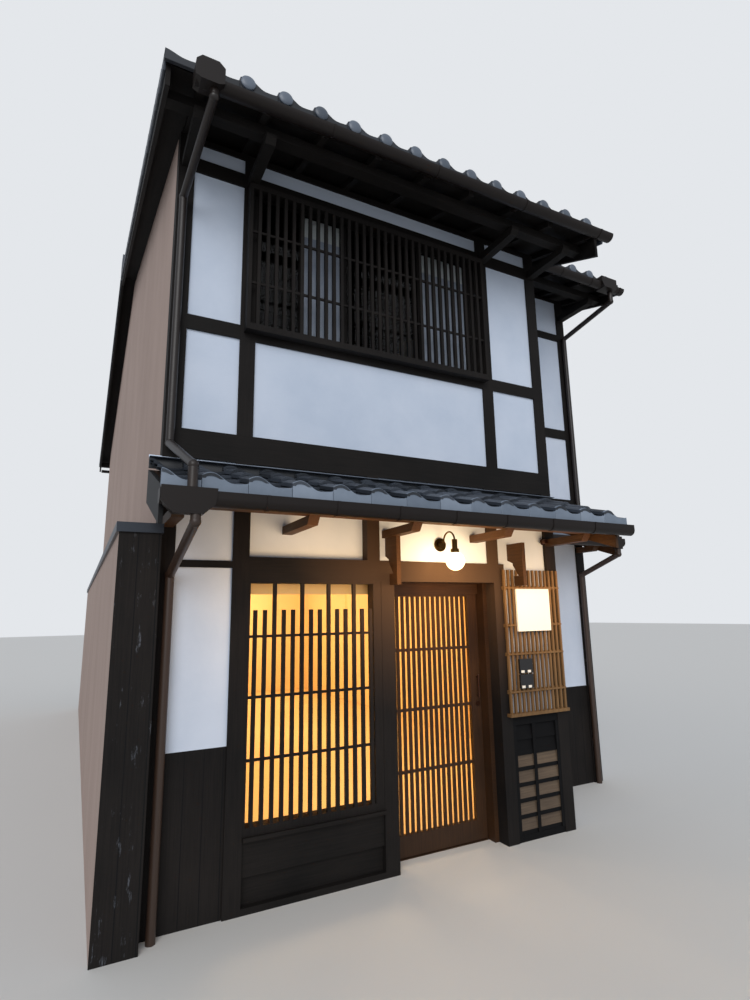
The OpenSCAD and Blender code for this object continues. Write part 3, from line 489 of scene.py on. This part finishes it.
def smoked_clay(name, low, high, roughness=0.42):
    """Fired clay with a carbon skin: a tone for each tile, blotches 140 mm wide, a satin shine."""
    material = new_material(name, roughness)
    tree = material.node_tree
    tone = add(tree, "ShaderNodeNewGeometry").outputs["Random Per Island"]
    blotches = add(tree, "ShaderNodeTexNoise", {"Vector": coordinates(tree), "Scale": 7,
                                               "Detail": 6, "Roughness": 0.7})
    both = add(tree, "ShaderNodeMath", {0: blotches.outputs["Fac"], 1: tone}, operation="ADD")
    spread = add(tree, "ShaderNodeMapRange", {"Value": both, "From Min": 0.35, "From Max": 1.6})
    tint = add(tree, "ShaderNodeMix", {0: spread, 6: linear(low), 7: linear(high)}, data_type="RGBA")
    sand = add(tree, "ShaderNodeTexNoise", {"Vector": coordinates(tree), "Scale": 220, "Detail": 3})
    grain = add(tree, "ShaderNodeBump", {"Height": sand.outputs["Fac"], "Strength": 0.15,
                                        "Distance": 0.001})
    cover(material, tint, grain)
    return material


def wave(u, roll=1):
    """Height over the pan at a part u of a tile's width: the raised edge, the roll at 0, a wide pan."""
    if u < 0:
        return tile_wave * (raised_height + raised_curve * math.cos(math.pi / 2 * u / raised_edge))
    if u < 0.5:
        return tile_wave * roll * math.cos(math.pi / 2 * min(1, u / roll_end)) ** 2
    return tile_wave * pan_curve * (u - 0.5) ** 2


def verts_of(geom):
    """The vertices in what a bmesh operator returns."""
    return [v for v in geom if isinstance(v, bmesh.types.BMVert)]


def repeat(bm, count, step):
    """Copies everything in bm so that it stands count times, a step apart."""
    first = bm.verts[:] + bm.edges[:] + bm.faces[:]
    for i in range(1, count):
        made = bmesh.ops.duplicate(bm, geom=first)["geom"]
        bmesh.ops.translate(bm, verts=verts_of(made), vec=Vector(step) * i)


def keep_before(bm, point, normal):
    """Cuts away what lies beyond a plane."""
    geom = bm.verts[:] + bm.edges[:] + bm.faces[:]
    bmesh.ops.bisect_plane(bm, geom=geom, plane_co=point, plane_no=normal, clear_outer=True)


def pan_tile(bm, roll):
    """One tile whose lower edge is at y 0 and whose pan is at z 0, with its raised edge turned down."""
    parts = (-raised_edge, -0.19) + wave_parts + (0.83,)
    top = [(u, wave(u, roll)) for u in parts]
    under = [(u, wave(u, roll) - tile_t) for u in parts[:2:-1]]
    lip = [(-0.14, tile_t), (-raised_edge, tile_t)]
    face = bm.faces.new([bm.verts.new((u * tile_w, 0, z)) for u, z in top + under + lip])
    made = verts_of(bmesh.ops.extrude_face_region(bm, geom=[face])["geom"])
    length = tile_show + tile_lap
    drop = (tile_t + tile_play) * length / tile_show
    bmesh.ops.translate(bm, verts=made, vec=(0, length, -drop))
    bmesh.ops.recalc_face_normals(bm, faces=bm.faces)


def box(bm, low, high, bevel=0.0):
    """A block from its lowest to its highest corner, with its edges rounded."""
    made = bmesh.ops.create_cube(bm, size=1)["verts"]
    size = [b - a for a, b in zip(low, high)]
    middle = [(a + b) / 2 for a, b in zip(low, high)]
    bmesh.ops.scale(bm, vec=size, verts=made)
    bmesh.ops.translate(bm, vec=middle, verts=made)
    if bevel:
        edges = list({e for v in made for e in v.link_edges})
        bmesh.ops.bevel(bm, geom=edges, offset=bevel, offset_type="OFFSET", segments=2, profile=0.5,
                        affect="EDGES", material=-1)


def finished(bm, name, *materials, turned=False):
    """Makes a piece of the house from a bmesh. A turned one goes on the back half of the roof."""
    if turned:
        bmesh.ops.rotate(bm, cent=((roof_left + roof_right) / 2, 0, 0),
                         matrix=Matrix.Rotation(math.pi, 3, "Z"), verts=bm.verts)
    mesh = bpy.data.meshes.new(name)
    bm.to_mesh(mesh)
    bm.free()
    for material in materials:
        mesh.materials.append(material)
    for face in mesh.polygons:
        face.use_smooth = True
    mesh.set_sharp_from_angle(angle=math.radians(32))
    piece = bpy.data.objects.new(name, mesh)
    scene.collection.objects.link(piece)
    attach(piece, "house")
    return piece


def slope_of(bm, slope, foot):
    """Tips what was built flat up the slope, with its foot at that point."""
    tip = Matrix.Rotation(math.atan(slope), 3, "X")
    bmesh.ops.rotate(bm, cent=(0, 0, 0), matrix=tip, verts=bm.verts)
    bmesh.ops.translate(bm, vec=foot, verts=bm.verts)


def roof_top(y):
    """Height of the tiles' crests on the front slope."""
    return main_top + main_slope * y


def rows(foot_y, top, slope):
    """How many rows of tiles go up a slope from its foot to its top."""
    lean = math.cos(math.atan(slope))
    return math.ceil((top - foot_y) / lean / tile_show)


def columns(grid, x2):
    """How many tiles a row has from its grid's start to x2."""
    return math.ceil((x2 - grid) / tile_w - 0.01)


def in_columns(bm, make, grid, x2, roll):
    """Makes a row of things, one to a tile, the first of them with a roll of its own height."""
    make(bm, roll)
    row = bmesh.new()
    make(row, 1)
    repeat(row, columns(grid, x2) - 1, (tile_w, 0, 0))
    bmesh.ops.translate(row, verts=row.verts, vec=(tile_w, 0, 0))
    mesh = bpy.data.meshes.new("row")
    row.to_mesh(mesh)
    row.free()
    bm.from_mesh(mesh)
    bpy.data.meshes.remove(mesh)


def tiled(name, x1, x2, foot, slope, top, grid=None, roll=1, turned=False):
    """Rows of tiles from the eave at foot = (y, z of the crests) up to y = top, cut off at x1 and x2."""
    grid = x1 if grid is None else grid
    bm = bmesh.new()
    in_columns(bm, pan_tile, grid, x2, roll)
    repeat(bm, rows(foot[0], top, slope), (0, tile_show, 0))
    slope_of(bm, slope, (grid, foot[0] - tile_out, foot[1] - tile_wave))
    keep_before(bm, (x1, 0, 0), (-1, 0, 0))
    keep_before(bm, (x2, 0, 0), (1, 0, 0))
    keep_before(bm, (0, top, 0), (0, 1, 0))
    return finished(bm, name, clay, turned=turned)


def front_plate(bm, roll, foot_z):
    """The flat front of one eave tile, whose top follows the tile and whose foot is level."""
    parts = (-0.195,) + wave_parts + (0.795,)
    line = [(u * tile_w, plate_up + wave(u, roll)) for u in parts]
    foot_line = [(line[-1][0], foot_z), (line[0][0], foot_z)]
    face = bm.faces.new([bm.verts.new((x, 0, z)) for x, z in line + foot_line])
    made = verts_of(bmesh.ops.extrude_face_region(bm, geom=[face])["geom"])
    bmesh.ops.translate(bm, verts=made, vec=(0, plate_t, 0))
    bmesh.ops.recalc_face_normals(bm, faces=bm.faces)
    bmesh.ops.bevel(bm, geom=bm.edges[:], offset=0.002, offset_type="OFFSET", segments=1, profile=0.5,
                    affect="EDGES", material=-1)


def round_end(bm, x, y, z):
    """The round end over a roll: a disc, and on its face a low dome in rings of one width and rise."""
    place = Matrix.Translation((x, y, z)) @ Matrix.Rotation(math.pi / 2, 4, "X")
    ring = bmesh.ops.create_cone(bm, cap_ends=True, segments=32, radius1=disc_r, radius2=disc_r,
                                 depth=disc_depth, matrix=place)["verts"]
    face = [f for f in {f for v in ring for f in v.link_faces} if f.normal.y < -0.9]
    for thickness, rise in disc_dome:
        bmesh.ops.inset_region(bm, faces=face, thickness=thickness, depth=rise)


def eave_fronts(name, material, x1, x2, foot, drop, grid=None, roll=1, round_ends=True, turned=False):
    """The flat fronts that close the eave row, each with a foot drop below the crests, and the round ends.

    Fronts with round ends are painted darker for the shade they lie in, behind the ends."""
    grid = x1 if grid is None else grid
    bm = bmesh.new()
    foot_z = tile_wave - drop
    in_columns(bm, lambda row, height: front_plate(row, height, foot_z), grid, x2, roll)
    bmesh.ops.translate(bm, vec=(grid, foot[0] - plate_out, foot[1] - tile_wave), verts=bm.verts)
    keep_before(bm, (x1, 0, 0), (-1, 0, 0))
    keep_before(bm, (x2, 0, 0), (1, 0, 0))
    if round_ends:
        # The fronts behind the round ends get the darker clay as painted shade.
        for plate in bm.faces[:]:
            plate.material_index = 1
        for i in range(1, columns(grid, x2)):
            round_end(bm, grid + i * tile_w, foot[0] - disc_out, foot[1] - disc_drop)
    return finished(bm, name, material, painted_shade_clay, turned=turned)


def verge_sides(name, x, foot_y, top, turned=False):
    """The lapped sides of the verge tiles, one to a row, that hang over the edge of the boards."""
    bm = bmesh.new()
    box(bm, (x, 0, -verge_drop), (x + verge_t, tile_show + verge_lap, verge_up), 0.003)
    lapped = [v for v in bm.verts if v.co.y > tile_show]
    bmesh.ops.translate(bm, verts=lapped, vec=(0, 0, -verge_sink))
    repeat(bm, rows(foot_y, top, main_slope), (0, tile_show, 0))
    slope_of(bm, main_slope, (0, foot_y, roof_top(foot_y) - crest))
    keep_before(bm, (0, top, 0), (0, 1, 0))
    return finished(bm, name, clay, turned=turned)


clay = smoked_clay("smoked_clay", "#23272d", "#474e59")
round_clay = smoked_clay("smoked_clay_round_ends", "#464e59", "#67717f", roughness=0.38)
pale_clay = smoked_clay("smoked_clay_front", "#626e7d", "#8793a3", roughness=0.5)
# A darker copy of the clay, painted shade for the eave fronts and the mortar bed.
painted_shade_clay = smoked_clay("smoked_clay_painted_shade", "#16191e", "#292e36", roughness=0.5)
main_drop = 0.108
front_foot = (eave_front, roof_top(eave_front))
wing_foot = (wing_front, roof_top(wing_front))
left_verge = roof_left - 0.003
step_verge = roof_step - 0.015
right_verge = roof_right - 0.015
first_side = eave_front + 0.02
wing_first_side = wing_front + 0.02
step_side_top = -4.700
front = [tiled("front_roof_tiles", roof_left, roof_step, front_foot, main_slope, under_ridge,
               roll=first_roll),
         tiled("wing_roof_tiles", roof_step, roof_right, wing_foot, main_slope, under_ridge,
               grid=wing_grid),
         eave_fronts("eave_fronts", round_clay, roof_left, roof_step, front_foot, main_drop,
                     roll=first_roll),
         eave_fronts("wing_eave_fronts", round_clay, roof_step, roof_right, wing_foot, main_drop,
                     grid=wing_grid),
         verge_sides("left_verge_tiles", left_verge, first_side, under_ridge),
         verge_sides("step_verge_tiles", step_verge, first_side, step_side_top),
         verge_sides("right_verge_tiles", right_verge, wing_first_side, under_ridge)]
for piece in front:
    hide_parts("roof_tiles_front")
rear = [tiled("rear_roof_tiles", roof_left, roof_right, front_foot, main_slope, under_ridge,
              roll=first_roll, turned=True),
        eave_fronts("rear_eave_fronts", round_clay, roof_left, roof_right, front_foot, main_drop,
                    roll=first_roll, turned=True),
        verge_sides("rear_left_verge_tiles", right_verge, first_side, under_ridge, turned=True),
        verge_sides("rear_right_verge_tiles", left_verge, first_side, under_ridge, turned=True)]
for piece in rear:
    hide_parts("roof_tiles_rear")


# The pent roofs over the front and over the stepped bay: the same tiles at a
# steeper pitch. Their eave tiles have deep flat fronts of paler clay and no
# round ends.
pent_slope = 0.342
pent_top = 2.860
pent_drop = 0.150
pent_left = -2.470
pent_right = 1.176
pent_eave = -5.570
front_wall = -4.850
wing_wall = -3.990
wing_pent_left = 1.066
wing_pent_right = wing_pent_left + 5 * tile_w
wing_pent_eave = -4.510
wall_play = 0.002
pent_foot = (pent_eave, pent_top - (front_wall - pent_eave) * pent_slope)
wing_pent_foot = (wing_pent_eave, pent_top - (wing_wall - wing_pent_eave) * pent_slope)
pent = [tiled("pent_roof_tiles", pent_left, pent_right, pent_foot, pent_slope,
              front_wall - wall_play),
        tiled("wing_pent_roof_tiles", wing_pent_left, wing_pent_right, wing_pent_foot, pent_slope,
              wing_wall - wall_play),
        eave_fronts("pent_eave_fronts", pale_clay, pent_left, pent_right, pent_foot, pent_drop,
                    round_ends=False),
        eave_fronts("wing_pent_eave_fronts", pale_clay, wing_pent_left, wing_pent_right,
                    wing_pent_foot, pent_drop, round_ends=False)]
for piece in pent:
    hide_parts("pent_tiles")


# The ridge: flat tiles bedded in steps with a round cap, from the same clay. The
# ends of the tiles show as thin dark joints about 300 mm apart.
ridge_tile = 0.3
ridge_joint = 0.006
ridge_clay = new_material("smoked_clay_ridge", 0.45)
tree = ridge_clay.node_tree
joint = joints(tree, "X", ridge_tile, ridge_joint)
tint = add(tree, "ShaderNodeMix", {0: joint, 6: linear("#3d444e"), 7: linear("#15171a")},
           data_type="RGBA")
cover(ridge_clay, tint)
dress(ridge_clay, "ridge")


# Rainwater goods: sheet steel painted dark brown, folded gutters on straps with
# round pipes. Below the pent roof, the pipes are a lighter brown.
gutter_brown = new_material("brown_paint", 0.45, Base_Color=linear("#17100d"), Specular_IOR_Level=0.3)
dress(gutter_brown, "gutters")
pipe_brown = new_material("brown_pipe_paint", 0.42)
tree = pipe_brown.node_tree
up = add(tree, "ShaderNodeSeparateXYZ", {0: coordinates(tree)}).outputs["Z"]
# The pipes are a lighter brown below 2.2 m, a darker one above 2.7 m.
lighter_below = add(tree, "ShaderNodeMapRange", {"Value": up, "From Min": 2.7, "From Max": 2.2})
tint = add(tree, "ShaderNodeMix", {0: lighter_below, 6: linear("#1b130f"), 7: linear("#37281f")},
           data_type="RGBA")
cover(pipe_brown, tint)
dress(pipe_brown, "downpipes")


# The flashing where the pent roof meets the wall: a thin folded strip of zinc,
# bright on its edge, on a bed of mortar that fills the hollows of the top row of
# tiles, painted dark for the shade under the flashing.
strip_right = 1.079
strip_foot = 2.858
strip_top = 2.884
strip_front = -4.905
strip_back = -4.834
strip_t = 0.004
bed_h = 0.072
bed_t = 0.014
bright_metal = new_material("zinc_strip", 0.4, Metallic=0.9, Base_Color=linear("#8b94a1"))
bm = bmesh.new()
box(bm, (pent_left, strip_front, strip_foot), (strip_right, strip_back, strip_foot + strip_t), 0.001)
box(bm, (pent_left, strip_back - strip_t, strip_foot), (strip_right, strip_back, strip_top), 0.001)
piece = finished(bm, "pent_flashing", bright_metal)
bm = bmesh.new()
box(bm, (pent_left, front_wall - bed_t, strip_foot - bed_h), (strip_right, front_wall, strip_foot), 0.002)
# The mortar bed is dark as painted shade under the flashing.
piece = finished(bm, "pent_mortar_bed_painted_shade", painted_shade_clay)


# A small round spot lamp of dark bronze on the corner post, under the pent
# roof: a short can on a thin round rose, both turned, with eased rims.
spot_x = 0.935
spot_z = 2.440
bm = bmesh.new()
for radius, y, depth in ((0.030, -4.855, 0.010), (0.022, -4.880, 0.044)):
    place = Matrix.Translation((spot_x, y, spot_z)) @ Matrix.Rotation(math.pi / 2, 4, "X")
    bmesh.ops.create_cone(bm, cap_ends=True, segments=24, radius1=radius, radius2=radius, depth=depth,
                          matrix=place)
rims = [e for e in bm.edges if e.calc_face_angle(0) > 1]
bmesh.ops.bevel(bm, geom=rims, offset=0.003, offset_type="OFFSET", segments=2, profile=0.5,
                affect="EDGES", material=-1)
finished(bm, "corner_spot", pull_bronze)


# Two small blank tags of thick matt card, 34 by 20 mm, pinned to the lower edge
# of each dark plate.
tag_w = 0.034
tag_h = 0.020
tag_front = -4.909
tag_back = -4.906
tag_columns = (0.540, 0.610)
tag_rows = (1.189, 1.312)
tag_paper = new_material("tag_card", 0.8, Base_Color=linear("#e6e4dc"))
bm = bmesh.new()
for x in tag_columns:
    for z in tag_rows:
        box(bm, (x, tag_front, z), (x + tag_w, tag_back, z + tag_h), 0.0006)
finished(bm, "plate_tags", tag_paper)


# Behind the upper window's second and fourth lights hang matt paper screens,
# grey in the shade of the eave, with a white band at their top.
corner_x = -2.390
screen_front = -4.774
screen_back = -4.771
screen_foot = 3.991
band_foot = 4.900
band_top = 5.076
screened_lights = ((1.006, 1.334), (2.136, 2.641))


def hung_sheets(name, material, low, high):
    """A sheet of paper behind each of the screened lights, from one height to another."""
    bm = bmesh.new()
    for x1, x2 in screened_lights:
        box(bm, (corner_x + x1, screen_front, low), (corner_x + x2, screen_back, high))
    return finished(bm, name, material)


paper = new_material("screen_paper", 0.9, Base_Color=linear("#8e98a8"))
white_paper = new_material("white_band", 0.9, Base_Color=linear("#bcc4c6"))
piece = hung_sheets("paper_screens", paper, screen_foot, band_foot)
piece = hung_sheets("white_bands", white_paper, band_foot, band_top)


# Light inside the shop, as in the photo at dusk: warm lamps near the ceiling,
# one or two to a room, whose light shows through the window and the door.
room_glow = (1.0, 0.74, 0.44)
lamp_z = 2.35
lamp_r = 0.3
for name, x, y, power in (("front_room_light", -0.9, -3.4, 100), ("entry_light", 0.8, -3.2, 100),
                          ("middle_room_light", 0.0, 0.0, 190), ("back_room_light", 0.0, 3.2, 210)):
    glow(name, "POINT", (x, y, lamp_z), power, room_glow, lamp_r)
